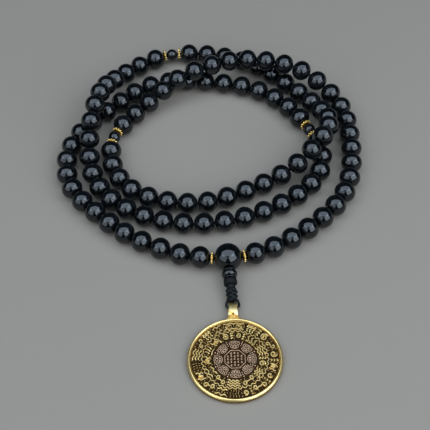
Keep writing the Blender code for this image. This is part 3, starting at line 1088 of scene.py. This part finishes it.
@dataclass
class Ornament:
    """Draws plain ornaments in the fields of a band of the medal.

    A line is its points, (along the band, out from the band's middle), and its relative thickness.
    The gaps between neighbouring lines are multiples of a line's half thickness.
    """

    chance: random.Random
    weight: float
    width: float = 0.0
    height: float = 0.0
    row_gap: float = 3.5
    bend_gap: float = 6.4
    spiral_gap: float = 3.1
    curl_gap: float = 3.0
    hook_gap: float = 4.6
    bar_gap: float = 3.3
    grain_gap: float = 3.2

    def coil(self, x: float, y: float, size: float, turns: float, way: int, start: float) -> list[Point]:
        """A spiral that winds inwards.

        Args:
            x: its middle along the band.
            y: its middle out from the band's own.
            size: its outer radius.
            turns: how often it winds round.
            way: 1 or -1, the hand it winds with.
            start: the angle of its outer end.

        Returns:
            The spiral's points.
        """
        count, inwards = max(10, int(turns * 12)), 0.82
        points = []
        for k in range(count + 1):
            share = k / count
            turn = start + way * share * turns * TURN
            out = size * (1 - inwards * share)
            points.append((x + out * math.cos(turn), y + out * math.sin(turn)))
        return points

    def grain(self, x: float, y: float, size: float) -> list[Line]:
        """One round grain."""
        reach = self.weight * 0.5
        return [([(x - reach, y), (x - reach * 0.4, y), (x + reach * 0.4, y), (x + reach, y)], size)]

    def line(self, points: Sequence[Point], thick: float = 1.0, steps: int = 4) -> Line:
        """A smooth line through points that are shares of the field's width and height."""
        return rounded([(x * self.width, y * self.height) for x, y in points], steps), thick

    def waves(self) -> list[Line]:
        """Winding lines, one above the other, with grains let into one of them.

        Returns:
            The motif's lines.
        """
        pitch, steps, full = self.weight * self.row_gap, 24, 6.28
        rows = max(1, round(self.height / pitch))
        bends = max(1, round(self.width / (self.weight * self.bend_gap)))
        phase = self.chance.choice((0, math.pi))
        lines = []
        for row in range(rows):
            middle = self.height * ((row + 0.5) / rows - 0.5)
            if rows > 2 and row == 1 and self.chance.random() < 0.5:
                count = max(2, round(self.width / pitch))
                for k in range(count):
                    lines += self.grain(self.width * ((k + 0.5) / count - 0.5), middle, 1.25)
            else:
                swing = [pitch * 0.3 * math.sin(phase + k / steps * bends * full) for k in range(steps + 1)]
                lines.append(([(self.width * (k / steps - 0.5), middle + out)
                               for k, out in enumerate(swing)], 1.0))
        return lines

    def spiral(self) -> list[Line]:
        """A large spiral with short hooked lines beside it.

        Returns:
            The motif's lines.
        """
        way = self.chance.choice((-1, 1))
        size = min(self.width * 0.62, self.height) / 2
        at, turns = way * (self.width / 2 - size), size / (self.weight * self.spiral_gap)
        lines = [(self.coil(at, 0, size, turns, way, math.pi / 2 - way * 0.4), 1.1)]
        near, far = at - way * (size + self.weight * 2.6), -way * self.width / 2
        for row in (-0.34, 0.0, 0.34):
            hook = ((near, row - 0.1), ((near + far) / 2, row + 0.1), (far, row - 0.02))
            lines.append((rounded([(x, y * self.height) for x, y in hook], 4), 1.0))
        return lines

    def double(self) -> list[Line]:
        """Two opposed spirals on one winding line, with a grain beside each.

        Returns:
            The motif's lines.
        """
        way = self.chance.choice((-1, 1))
        size = min(self.width / 4, self.height * 0.3)
        turns, dip = size / (self.weight * self.curl_gap), way * self.height * 0.02
        x, y = self.width / 2 - size, way * (self.height / 2 - size)
        right = self.coil(x, y, size, turns, way, -way * math.pi / 2)
        left = self.coil(-x, -y, size, turns, way, way * math.pi / 2)
        link = rounded([left[0], (left[0][0] + size * 0.9, -dip),
                        (right[0][0] - size * 0.9, dip), right[0]], 5)
        grains = [line for side in (1, -1)
                  for line in self.grain(side * self.width * 0.28, -side * way * self.height * 0.36, 1.8)]
        return [([*reversed(left), *link[1:-1], *right], 1.0), *grains]

    def leaf(self) -> list[Line]:
        """A thick tapered leaf between two curling lines.

        Returns:
            The motif's lines.
        """
        way = self.chance.choice((-1, 1))
        body = [(-0.16, -0.28), (-0.02, 0), (0.12, 0.22)]
        rim = [(0.14, -0.44), (0.3, -0.24), (0.27, 0.02), (0.42, 0.16), (0.4, 0.44)]
        vein = [(-0.42, -0.44), (-0.36, -0.05), (-0.22, 0.28), (-0.06, 0.47)]
        lines = [self.line([(way * x, y) for x, y in points], thick, steps)
                 for points, thick, steps in ((body, 2.3, 4), (rim, 1.05, 5), (vein, 1.05, 5))]
        for side in (1, -1):
            lines += self.grain(side * way * self.width * 0.42, -side * self.height * 0.3, 1.5)
        return lines

    def hooks(self) -> list[Line]:
        """A row of hooks, turned the same way.

        Returns:
            The motif's lines.
        """
        count = max(2, round(self.width / (self.weight * self.hook_gap)))
        way, share = self.chance.choice((-1, 1)), 1 / count
        hook = [(-0.3, 0.1), (-0.12, 0.44), (0.26, 0.34), (0.1, 0), (-0.2, -0.22), (0.14, -0.48)]
        return [self.line([((k + 0.5 + x) * share - 0.5, way * y) for x, y in hook]) for k in range(count)]

    def bars(self) -> list[Line]:
        """Bent slanting bars with a line along one end of them.

        Returns:
            The motif's lines.
        """
        count = max(3, round(self.width / (self.weight * self.bar_gap)))
        slant, lean = self.chance.uniform(-0.35, 0.35), 0.14
        tall = self.chance.choice((-1, 1)) * self.height
        rail = ((-0.5, 0.46), (0, 0.4), (0.5, 0.46))
        lines = [(rounded([(x * self.width, y * tall) for x, y in rail], 4), 1.0)]
        for k in range(count):
            x = self.width * ((k + 0.5) / count - 0.5)
            lines.append((rounded([(x - slant, tall * -0.5), (x + lean, tall * -0.12),
                                   (x + slant, tall * 0.14)], 3), 1.0))
        return lines

    def grains(self) -> list[Line]:
        """Staggered rows of grains.

        Returns:
            The motif's lines.
        """
        gap = self.weight * self.grain_gap
        rows, made = max(2, int(self.height / gap)), []
        for row in range(rows):
            y = self.height * ((row + 0.5) / rows - 0.5)
            for k in range(max(1, int(self.width / gap))):
                x = (k + 0.5 + 0.25 * (row % 2)) * gap - self.width / 2
                made += self.grain(x, y, self.chance.uniform(1.2, 1.8))
        return made

    def crest(self) -> list[Line]:
        """The even-sided ornament at the top: a bow, two eyed curls, grains and a winding line.

        Returns:
            The ornament's lines, in millimetres.
        """
        half = [(rounded([(0, 0.75), (0.9, 1.25), (2.2, 1.0), (3.6, 1.32)], 5), 1.1),
                (self.coil(2.75, 0.05, 0.62, 0.9, 1, math.pi * 0.6), 1.0),
                (rounded([(0.75, 0.3), (1.4, 0.42), (1.95, 0.0)], 4), 1.0),
                (rounded([(0, -1.25), (0.8, -1.0), (1.7, -1.35), (2.7, -0.9), (3.7, -1.35)], 5), 1.15),
                *self.grain(0.8, -0.42, 1.5), *self.grain(1.6, -0.6, 1.2), *self.grain(3.75, 0.2, 2.0)]
        other = [([(-x, y) for x, y in reversed(line)], thick) for line, thick in half]
        return [*half, *other, *self.grain(0, 0.1, 1.6)]

    def fill(self, motif: Motif, width: float, height: float) -> list[Line]:
        """Fill a field of the band with one ornament.

        Args:
            motif: the ornament.
            width: the field's length along the band.
            height: the field's length across it.

        Returns:
            The ornament's lines.
        """
        self.width, self.height = width, height
        return getattr(self, motif.value)()


@dataclass(frozen=True)
class ReliefBand:
    """A ring-shaped band of ornaments: its middle, its width, how many fields it has and how they start."""

    name: str
    radius: float
    height: float
    fields: int
    weight: float
    seed: int
    crest_width: float = 0.0


@dataclass
class Medal:
    """The round relief medal and its folded bail."""

    centre: Vector
    bail_at: Vector
    finishes: Finishes
    floor: float = 1.42
    copper_to: float = 7.7
    outer: ReliefBand = ReliefBand("gold_medal_outer_relief", 13.72, 3.5, 17, 0.29, 8, crest_width=8.6)
    inner: ReliefBand = ReliefBand("gold_medal_inner_relief", 9.68, 3.3, 13, 0.28, 21)
    mix: tuple[Motif, ...] = (Motif.WAVES, Motif.SPIRAL, Motif.DOUBLE, Motif.LEAF, Motif.HOOKS, Motif.WAVES,
                              Motif.DOUBLE, Motif.LEAF, Motif.SPIRAL, Motif.BARS, Motif.GRAINS)
    line_taper: float = 0.55
    field_margin: tuple[float, float] = (2.9, 1.6)
    grain_rows: tuple[float, ...] = (-0.37, 0.0, 0.37)
    border_radius: float = 11.62
    border_waves: int = 40
    panel_radius: float = 5.75
    octagon_radius: float = 3.85
    curl_gap: float = 1.2
    bail_half: tuple[float, float, float] = (1.84, 3.1, 1.65)
    bail_wall: float = 0.6
    strap_edge: float = 0.25
    strap_bevel: float = 0.16
    strap_spread: float = 0.07
    notch: float = 0.95
    notch_up: float = 0.55
    foot_size: tuple[float, float, float] = (3.7, 1.9, 1.5)
    foot_height: float = 1.35
    foot_drop: float = 0.15
    foot_flare: float = 1.5
    foot_bevel: float = 0.45

    def disc(self) -> None:
        """Turn the disc with its round rim and sunk field, the middle of it in copper."""
        rim = rounded([(15.9, 0.0), (16.7, 0.35), (17.0, 1.1), (16.82, 1.85), (16.35, 2.28), (15.9, 2.16),
                       (15.62, 1.6)], 4)
        outline = [(0, 0.2), (12.5, 0.2), (12.8, 0.0), *rim, (15.45, self.floor),
                   (self.copper_to, self.floor), (0, self.floor)]
        disc = moved(turned("gold_medal_disc", outline, steps=144), Matrix.Translation(self.centre * MM))
        dress(disc, self.finishes.medal)
        disc.data.materials.append(self.finishes.copper)
        for face in disc.data.polygons:
            out = (face.center.xy - self.centre.xy * MM).length / MM
            face.material_index = int(out < self.copper_to and face.center.z > self.floor / 2 * MM)
        placed(disc, "pendant", "pendant_disc")

    def in_band(self, lines: Sequence[Line], radius: float, angle: float, height: float, weight: float,
                closed: bool = False) -> list[Stroke]:
        """Bend flat ornament lines round the medal.

        Args:
            lines: the lines of the ornament.
            radius: the band's middle.
            angle: where round the medal the ornament's middle is.
            height: height of the lines' axis above the table.
            weight: half thickness of a line of thickness 1.
            closed: whether the lines close on themselves.

        Returns:
            The strokes in the object's frame.
        """
        strokes = []
        for line, thick in lines:
            bent = [self.centre + Vector(((radius + out) * math.sin(along / radius + angle),
                                          (radius + out) * math.cos(along / radius + angle), height))
                    for along, out in line]
            strokes.append(Stroke(bent, weight * thick, self.line_taper, closed))
        return strokes

    def relief(self, name: str, strokes: Sequence[Stroke], finish: bpy.types.Material) -> None:
        """Raise lines from the medal's floor as one piece.

        Args:
            name: the piece's name.
            strokes: the lines.
            finish: the metal they are in.
        """
        placed(dress(wires(name, strokes, sides=6), finish), "pendant")

    def band(self, band: ReliefBand) -> None:
        """Fill a band with plain ornaments of uneven width, and rows of grains between them.

        Args:
            band: the band.
        """
        chance = random.Random(band.seed)
        ornament = Ornament(chance, band.weight)
        shares = [chance.uniform(0.85, 1.25) for _ in range(band.fields)]
        place = {"radius": band.radius, "height": self.floor + band.weight * 0.25, "weight": band.weight}
        strokes, before = [], None
        if band.crest_width:
            strokes += self.in_band(ornament.crest(), angle=0.0, **place)
        angle = band.crest_width / 2 / band.radius
        room = TURN * band.radius - band.crest_width
        for share in shares:
            motif = chance.choice([m for m in self.mix if m is not before])
            before, width = motif, room * share / sum(shares)
            lines = ornament.fill(motif, width - band.weight * self.field_margin[0],
                                  band.height - band.weight * self.field_margin[1])
            strokes += self.in_band(lines, angle=angle + width / 2 / band.radius, **place)
            angle += width / band.radius
            between = [line for out in self.grain_rows
                       for line in ornament.grain(0, out * band.height, 1.25)]
            strokes += self.in_band(between, angle=angle, **place)
        self.relief(band.name, strokes, self.finishes.medal)

    def border(self) -> None:
        """The winding line between the two bands."""
        swing, steps = 0.3, 6
        count = self.border_waves * steps
        winding = [(TURN * k / count * self.border_radius, swing * math.sin(TURN * k / steps))
                   for k in range(count)]
        strokes = self.in_band([(winding, 1.0)], self.border_radius, 0.0, self.floor + 0.08, 0.22, True)
        self.relief("gold_medal_winding_border", strokes, self.finishes.medal)

    def middle(self) -> None:
        """Eight panels of small boxes round an octagon, and rows of curls inside it."""
        weight, height, panels = 0.12, self.floor + 0.07, 8
        half_x, half_y = 0.4, 0.38
        box = [(-1, -1), (0, -1), (1, -1), (1, 0), (1, 1), (0, 1), (-1, 1), (-1, 0)]
        boxes = [([(x * spread + a * half_x, row + b * half_y) for a, b in box], 1.0)
                 for row, spread in ((0.75, 1.2), (-0.5, 1.08)) for x in (-1, 0, 1)]
        rails = [([(-half, out), (0, out), (half, out)], 1.1) for half, out in ((1.6, 1.65), (1.2, -1.3))]
        grains = [([(along, out) for along in (-0.16, -0.05, 0.05, 0.16)], size)
                  for out, size in ((1.7, 2.0), (0.9, 1.8), (0.1, 1.5))]
        strokes = []
        for panel in range(panels):
            angle = TURN * panel / panels
            strokes += self.in_band(boxes, self.panel_radius, angle, height, weight, True)
            strokes += self.in_band(rails, self.panel_radius, angle, height, weight)
            strokes += self.in_band(grains, self.panel_radius, angle + TURN / panels / 2, height, weight)
        corners = [self.centre + Vector((math.sin(a) * self.octagon_radius, math.cos(a) * self.octagon_radius,
                                         height))
                   for a in (TURN * (k + 0.5) / panels for k in range(panels))]
        octagon = [a.lerp(b, t) for a, b in zip(corners, corners[1:] + corners[:1]) for t in (0, 0.5)]
        strokes.append(Stroke(octagon, weight, closed=True))
        pen = Ornament(random.Random(3), weight)
        cells = [(col, row) for col in range(-2, 3) for row in range(-2, 3) if abs(col) + abs(row) < 4]
        for col, row in cells:
            way = 1 if (col + row) % 2 == 0 else -1
            curl = pen.coil(col * self.curl_gap, row * self.curl_gap, 0.42, 0.8, way, way * 1.2)
            line = [self.centre + Vector((x, y, height)) for x, y in curl]
            strokes.append(Stroke(line, weight * 1.05, taper=0.8))
        self.relief("copper_medal_panels", strokes, self.finishes.copper)

    def strap(self) -> None:
        """Fold the bail's strap round and notch its lower end."""
        half_x, half_y, half_z = self.bail_half
        count, power = 56, 2 / 2.6
        ring = []
        for k in range(count + 1):
            c, s = math.cos(TURN * k / count), math.sin(TURN * k / count)
            ring.append(Vector((0, half_y * math.copysign(abs(c) ** power, c),
                                half_z * math.copysign(abs(s) ** power, s))) * MM)
        strap = drawn_line("gold_bail", ring)
        bpy.ops.mesh.select_all(action="SELECT")
        bpy.ops.mesh.remove_doubles(threshold=MERGE)
        broad = half_x - 2 * self.strap_edge
        for width in (self.strap_edge, broad, broad, self.strap_edge):
            bpy.ops.mesh.extrude_edges_move(TRANSFORM_OT_translate={"value": (width * MM, 0, 0)})
        bpy.ops.mesh.select_all(action="SELECT")
        bpy.ops.transform.translate(value=(-(half_x - self.strap_edge) * MM, 0, 0))
        close_up()
        apply_modifier(strap, "SOLIDIFY", thickness=self.bail_wall * MM, offset=-1.0)
        apply_modifier(strap, "BEVEL", width=self.strap_bevel * MM, segments=2,
                       angle_limit=math.radians(50))
        for vert in strap.data.vertices:
            vert.co.x *= 1 - self.strap_spread * vert.co.y / (half_y * MM)
        moved(strap, Matrix.Translation(self.bail_at * MM))
        clear_selection()
        notch_at = self.bail_at + Vector((0, self.notch_up - half_y, half_z))
        bpy.ops.mesh.primitive_cone_add(vertices=3, radius1=self.notch * MM, radius2=self.notch * MM,
                                        depth=2 * MM, location=notch_at * MM)
        notch = added("notch_cutter")
        bpy.ops.object.transform_apply(location=True, rotation=True, scale=True)
        cut_out(strap, notch)
        smooth(strap, 35)
        placed(dress(strap, self.finishes.bail), "pendant", "pendant_bail")

    def foot(self) -> None:
        """The block that carries the strap on the rim, wider towards the medal."""
        below = Vector((0, -self.bail_half[1] - self.foot_drop, self.foot_height - self.bail_at.z))
        at = self.bail_at + below
        clear_selection()
        bpy.ops.mesh.primitive_cube_add(size=MM, location=at * MM, scale=self.foot_size)
        foot = added("gold_bail_foot")
        bpy.ops.object.transform_apply(location=True, rotation=True, scale=True)
        bpy.ops.object.mode_set(mode="EDIT")
        select_verts(foot, lambda p: p.y < at.y * MM)
        bpy.ops.transform.resize(value=(self.foot_flare, 1, 1), center_override=at * MM)
        close_up()
        apply_modifier(foot, "BEVEL", width=self.foot_bevel * MM, segments=4)
        smooth(foot, 50)
        placed(dress(foot, self.finishes.bail), "pendant")

    def build(self) -> None:
        """Make the disc, its relief and its bail."""
        self.disc()
        self.band(self.outer)
        self.band(self.inner)
        self.border()
        self.middle()
        self.strap()
        self.foot()


# ---- the studio -----------------------------------------------------------------------------------
@dataclass(frozen=True)
class Softbox:
    """A soft rectangular light that faces the object.

    Azimuth 0 is the camera's side and 90 the right, in degrees. Lengths are in metres.
    """

    name: str
    azimuth: float
    elevation: float
    distance: float
    width: float
    height: float
    radiance: float
    colour: str

    def build(self) -> None:
        """Hang the light so that it faces the origin."""
        a, e = math.radians(self.azimuth), math.radians(self.elevation)
        away = Vector((math.sin(a) * math.cos(e), -math.cos(a) * math.cos(e), math.sin(e)))
        bpy.ops.object.light_add(type="AREA", location=away * self.distance)
        lamp = bpy.context.object
        lamp.name = self.name
        lamp.rotation_mode = "QUATERNION"
        lamp.rotation_quaternion = away.to_track_quat("Z", "Y")
        lamp.data.shape = "RECTANGLE"
        lamp.data.size, lamp.data.size_y = self.width, self.height
        lamp.data.energy = self.radiance * math.pi * self.width * self.height
        lamp.data.color = linear(self.colour)[:3]


@dataclass
class Studio:
    """Camera, soft lights and a plain floor.

    The camera's place is in millimetres. It looks down by the pitch and is turned on by the roll, both
    in radians. The floor is measured in metres and lies just under the table's height.
    """

    place: Vector = field(default_factory=lambda: Vector((1.435, -254.232, 305.713)))
    pitch: float = 0.887405
    roll: float = -0.0323268
    lens: float = 83.72
    clip: tuple[float, float] = (0.01, 20.0)
    floor_size: float = 16.0
    floor_height: float = -0.00005
    floor_tone: str = "#82786D"
    room: tuple[float, float, float] = (0.012, 0.02, 0.028)
    softboxes: tuple[Softbox, ...] = (
        Softbox("top_softbox", 0, 86, 0.8, 1.9, 0.8, 3.0, "#CEE2F6"),
        Softbox("right_softbox", 46, 34, 0.9, 1.0, 0.8, 3.5, "#D8E8F6"),
        Softbox("left_softbox", -50, 32, 0.9, 1.0, 0.75, 1.9, "#D8E8F6"),
    )

    def camera(self) -> None:
        """Set the camera in front of the object and above it."""
        data = bpy.data.cameras.new("camera")
        data.lens = self.lens
        data.clip_start, data.clip_end = self.clip
        camera = bpy.data.objects.new("camera", data)
        bpy.context.scene.collection.objects.link(camera)
        camera.matrix_world = (Matrix.Translation(self.place * MM)
                               @ Matrix.Rotation(math.pi / 2 - self.pitch, 4, "X")
                               @ Matrix.Rotation(self.roll, 4, "Z"))
        bpy.context.scene.camera = camera

    def floor(self) -> None:
        """Lay the plain floor the object rests on."""
        clear_selection()
        bpy.ops.mesh.primitive_plane_add(size=self.floor_size, location=(0, 0, self.floor_height))
        floor = added("floor")
        material, _, shader = blank_material("matt_grey_floor")
        shader.inputs["Base Color"].default_value = linear(self.floor_tone)
        shader.inputs["Roughness"].default_value = 0.9
        floor.data.materials.append(material)

    def lights(self) -> None:
        """Hang the softboxes over a dim room."""
        for softbox in self.softboxes:
            softbox.build()
        world = bpy.context.scene.world or bpy.data.worlds.new("room")
        bpy.context.scene.world = world
        world.use_nodes = True
        ground = world.node_tree.nodes.get("Background") or node(world.node_tree, "Background")
        ground.inputs["Color"].default_value = (*self.room, 1)
        bpy.context.scene.view_settings.view_transform = "Standard"

    def build(self) -> None:
        """Make the whole studio."""
        self.camera()
        self.floor()
        self.lights()


# ---- the whole object -----------------------------------------------------------------------------
TAIL_AIM = Vector((0.9, -12.6, -2.35)).normalized()     # from the guru's third hole down to the loop
MOUTH = Vector((0.1, -4.9, -0.45))                      # that hole's mouth, from the guru's middle
LEAN = 1.0                                              # how far right of the guru the medal lies
# how far below the guru the middles of the loop, the bail and the medal are, and their heights
HANGING = ((18.9, 1.75), (21.45, 1.75), (41.8, 0.0))


def main() -> None:
    """Build the pieces in order around the frame."""
    logging.basicConfig(level=logging.INFO, format="%(name)s: %(message)s")
    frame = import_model()
    Studio().build()

    route = StrandRoute()
    points = route.junctions()
    finishes = Finishes()
    strand = Strand(points, route, finishes)
    strand.beads()
    strand.string_links()
    for name in ("string_coil", "string_front"):
        dress(frame["nodes"][name], finishes.cord)

    left, right = points[-1], points[1]
    guru = (left + right) / 2
    loop_at, bail_at, medal_at = (Vector((guru.x + LEAN, guru.y - below, height))
                                  for below, height in HANGING)
    GuruBead(guru, right - left, guru + MOUTH, TAIL_AIM, finishes).build()
    Tail(guru + MOUTH, TAIL_AIM, loop_at, finishes).build()
    Medal(medal_at, bail_at, finishes).build()


if __name__ == "__main__":
    main()
